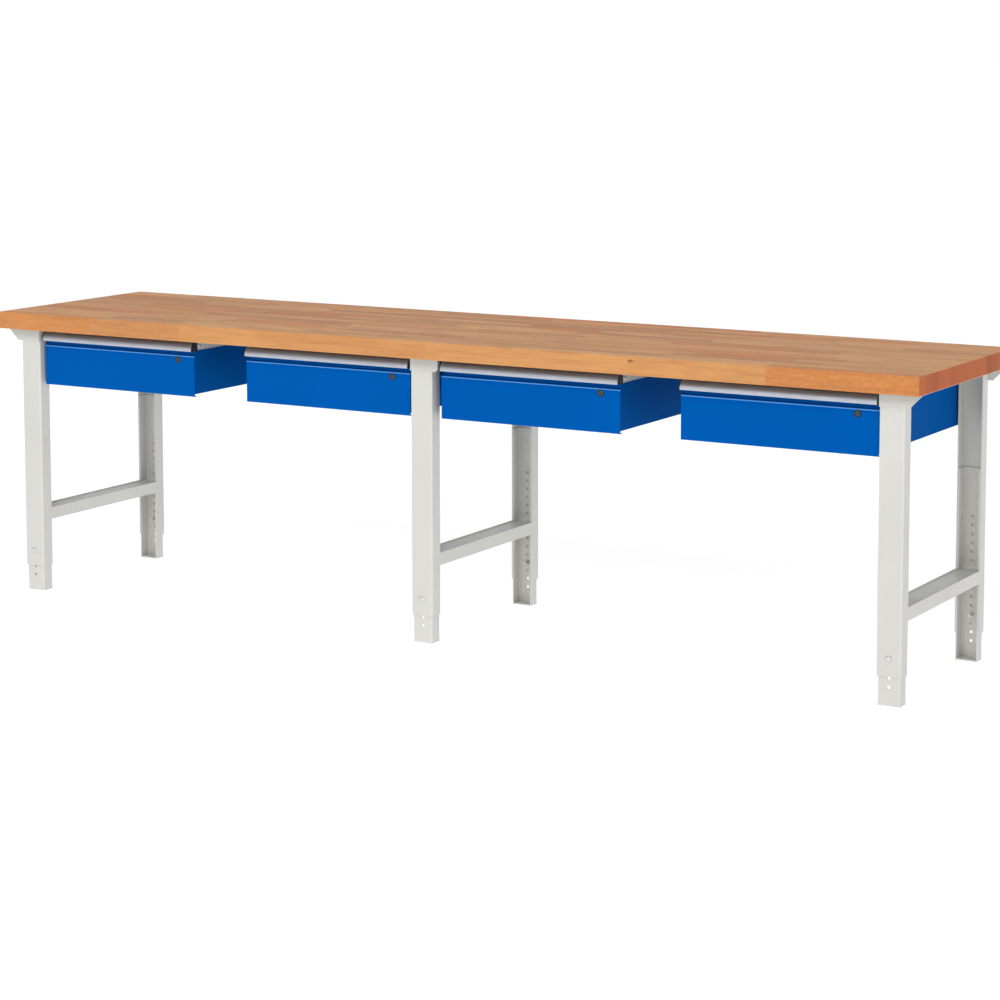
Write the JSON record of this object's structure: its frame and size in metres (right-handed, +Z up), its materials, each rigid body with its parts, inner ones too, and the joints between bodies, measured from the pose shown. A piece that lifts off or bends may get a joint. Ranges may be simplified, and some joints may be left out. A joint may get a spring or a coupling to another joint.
{
  "type": "workbench with drawers",
  "caption": "Long workbench with a butcher-block top on grey height-adjustable leg frames, and blue lockable drawers hung under the top.",
  "frame": {"origin": "on the floor, under the middle of the top", "axes": "+X along the bench to its right end as seen from the drawers, +Y to the back, +Z up; the drawers open towards -Y"},
  "size_m": [3, 0.7, 0.865],
  "materials": {
    "beech_top": "oiled solid beech, glued staves",
    "grey_powder_coat": "light grey powder coat, satin",
    "rail_grey": "light grey powder coat, satin",
    "blue_powder_coat": "gentian blue powder coat, fine texture",
    "tray_steel": "blue powder coat inside and out",
    "anodised_aluminium": "brushed and anodised",
    "black_plastic": "moulded black plastic",
    "black_lock": "black chromed zinc die casting",
    "zinc_plate": "bright zinc plate",
    "runner_zinc": "zinc plated, lightly greased"
  },
  "bodies": {
    "feet": {"foot_left_front": "grey_powder_coat", "foot_left_rear": "grey_powder_coat", "foot_middle_front": "grey_powder_coat", "foot_middle_rear": "grey_powder_coat", "foot_right_front": "grey_powder_coat", "foot_right_rear": "grey_powder_coat"},
    "bench": {"tabletop": "beech_top", "crossbar_left": "grey_powder_coat", "top_plate_left": "grey_powder_coat", "upper_leg_left_front": "grey_powder_coat", "upper_leg_left_rear": "grey_powder_coat", "crossbar_middle": "grey_powder_coat", "top_plate_middle": "grey_powder_coat", "upper_leg_middle_front": "grey_powder_coat", "upper_leg_middle_rear": "grey_powder_coat", "crossbar_right": "grey_powder_coat", "top_plate_right": "grey_powder_coat", "upper_leg_right_front": "grey_powder_coat", "upper_leg_right_rear": "grey_powder_coat", "leg_bolt_sets": "zinc_plate", "pan_head_screws": "zinc_plate", "hanger_rails": "rail_grey", "lock_catch_bars": "zinc_plate", "fixed_runners": "runner_zinc", "casing_1": "blue_powder_coat", "casing_2": "blue_powder_coat", "casing_3": "blue_powder_coat", "casing_4": "blue_powder_coat"},
    "drawer_1": {"tray_1": "tray_steel", "drawer_front_1": "blue_powder_coat", "grip_strip_1": "anodised_aluminium", "grip_caps_1": "black_plastic", "drawer_runners_1": "runner_zinc"},
    "runner_1": {"middle_runners_1": "runner_zinc"},
    "lock_1": {"lock_cylinder_1": "black_lock", "lock_cam_1": "zinc_plate"},
    "drawer_2": {"tray_2": "tray_steel", "drawer_front_2": "blue_powder_coat", "grip_strip_2": "anodised_aluminium", "grip_caps_2": "black_plastic", "drawer_runners_2": "runner_zinc"},
    "runner_2": {"middle_runners_2": "runner_zinc"},
    "lock_2": {"lock_cylinder_2": "black_lock", "lock_cam_2": "zinc_plate"},
    "drawer_3": {"tray_3": "tray_steel", "drawer_front_3": "blue_powder_coat", "grip_strip_3": "anodised_aluminium", "grip_caps_3": "black_plastic", "drawer_runners_3": "runner_zinc"},
    "runner_3": {"middle_runners_3": "runner_zinc"},
    "lock_3": {"lock_cylinder_3": "black_lock", "lock_cam_3": "zinc_plate"},
    "drawer_4": {"tray_4": "tray_steel", "drawer_front_4": "blue_powder_coat", "grip_strip_4": "anodised_aluminium", "grip_caps_4": "black_plastic", "drawer_runners_4": "runner_zinc"},
    "runner_4": {"middle_runners_4": "runner_zinc"},
    "lock_4": {"lock_cylinder_4": "black_lock", "lock_cam_4": "zinc_plate"}
  },
  "joints": [
    {"name": "height_adjust", "type": "slide", "parent": "feet", "child": "bench", "axis": [0, 0, 1], "range_m": [-0.075, 0.225]},
    {"name": "drawer_1_slide", "type": "slide", "parent": "bench", "child": "drawer_1", "axis": [0, -1, 0], "range_m": [0, 0.5]},
    {"name": "runner_1_slide", "type": "slide", "parent": "bench", "child": "runner_1", "axis": [0, -1, 0], "range_m": [0, 0.25]},
    {"name": "lock_1_turn", "type": "hinge", "parent": "drawer_1", "child": "lock_1", "pos_m": [-0.861, -0.288, 0.751], "axis": [0, 1, 0], "range_deg": [0, 90]},
    {"name": "drawer_2_slide", "type": "slide", "parent": "bench", "child": "drawer_2", "axis": [0, -1, 0], "range_m": [0, 0.5]},
    {"name": "runner_2_slide", "type": "slide", "parent": "bench", "child": "runner_2", "axis": [0, -1, 0], "range_m": [0, 0.25]},
    {"name": "lock_2_turn", "type": "hinge", "parent": "drawer_2", "child": "lock_2", "pos_m": [-0.106, -0.288, 0.751], "axis": [0, 1, 0], "range_deg": [0, 90]},
    {"name": "drawer_3_slide", "type": "slide", "parent": "bench", "child": "drawer_3", "axis": [0, -1, 0], "range_m": [0, 0.5]},
    {"name": "runner_3_slide", "type": "slide", "parent": "bench", "child": "runner_3", "axis": [0, -1, 0], "range_m": [0, 0.25]},
    {"name": "lock_3_turn", "type": "hinge", "parent": "drawer_3", "child": "lock_3", "pos_m": [0.562, -0.288, 0.751], "axis": [0, 1, 0], "range_deg": [0, 90]},
    {"name": "drawer_4_slide", "type": "slide", "parent": "bench", "child": "drawer_4", "axis": [0, -1, 0], "range_m": [0, 0.5]},
    {"name": "runner_4_slide", "type": "slide", "parent": "bench", "child": "runner_4", "axis": [0, -1, 0], "range_m": [0, 0.25]},
    {"name": "lock_4_turn", "type": "hinge", "parent": "drawer_4", "child": "lock_4", "pos_m": [1.309, -0.288, 0.751], "axis": [0, 1, 0], "range_deg": [0, 90]}
  ],
  "couplings": [
    {"joint": "runner_1_slide", "follows": "drawer_1_slide", "ratio": 0.5},
    {"joint": "runner_2_slide", "follows": "drawer_2_slide", "ratio": 0.5},
    {"joint": "runner_3_slide", "follows": "drawer_3_slide", "ratio": 0.5},
    {"joint": "runner_4_slide", "follows": "drawer_4_slide", "ratio": 0.5}
  ]
}
